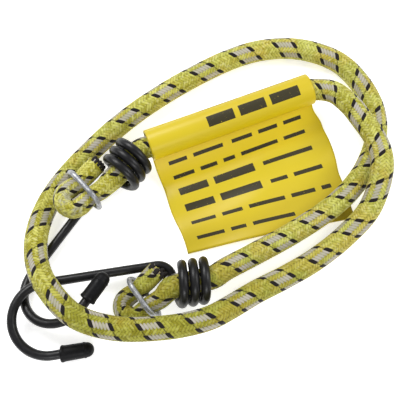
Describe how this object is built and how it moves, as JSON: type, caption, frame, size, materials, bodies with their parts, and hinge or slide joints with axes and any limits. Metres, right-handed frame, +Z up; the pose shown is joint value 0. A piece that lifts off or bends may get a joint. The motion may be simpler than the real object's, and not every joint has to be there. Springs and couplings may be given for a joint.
{
  "type": "bungee cord",
  "caption": "Elastic cord with a braided sheath, a wire hook coiled onto each clamped end and a folded label, laid down in loops.",
  "frame": {"origin": "middle of the outline, on the surface that the cord lies on", "axes": "+Z up from the surface; +X along the longest side of the laid-down cord, away from the hooks"},
  "size_m": [0.1334, 0.1221, 0.0202],
  "materials": {
    "braid": "woven yellow-green yarn with black and grey tracer yarns",
    "rubber": "natural latex, dusted",
    "coated_wire": "steel wire under a black vinyl coat, semi-gloss",
    "cap": "soft black moulded plastic, satin",
    "galvanised_wire": "dull galvanised steel wire, lightly scratched",
    "vinyl": "bright yellow vinyl film, folded and slightly wavy"
  },
  "bodies": {
    "cord": {"braided_sheath": "braid", "rubber_strand_1": "rubber", "rubber_strand_2": "rubber", "rubber_strand_3": "rubber", "rubber_strand_4": "rubber", "rubber_strand_5": "rubber", "rubber_strand_6": "rubber", "rubber_strand_7": "rubber", "clamp_ring_a": "galvanised_wire", "clamp_ring_b": "galvanised_wire"},
    "hook_a": {"hook_a_wire": "coated_wire", "hook_a_tip_cap": "cap"},
    "hook_b": {"hook_b_wire": "coated_wire", "hook_b_tip_cap": "cap"},
    "label": {"label": "vinyl"}
  },
  "joints": [
    {"name": "hook_a_swivel", "type": "hinge", "parent": "cord", "child": "hook_a", "pos_m": [-0.0279, 0.0072, 0.0112], "axis": [-0.565, -0.8251, 0], "range_deg": [-3, 2]},
    {"name": "hook_b_swivel", "type": "hinge", "parent": "cord", "child": "hook_b", "pos_m": [-0.0049, -0.0347, 0.00845], "axis": [-0.98, -0.1781, 0.0889], "range_deg": [-3, 3]},
    {"name": "label_slide", "type": "slide", "parent": "cord", "child": "label", "axis": [0.9336, 0.3584, 0], "range_m": [-0.002, 0.001]}
  ]
}
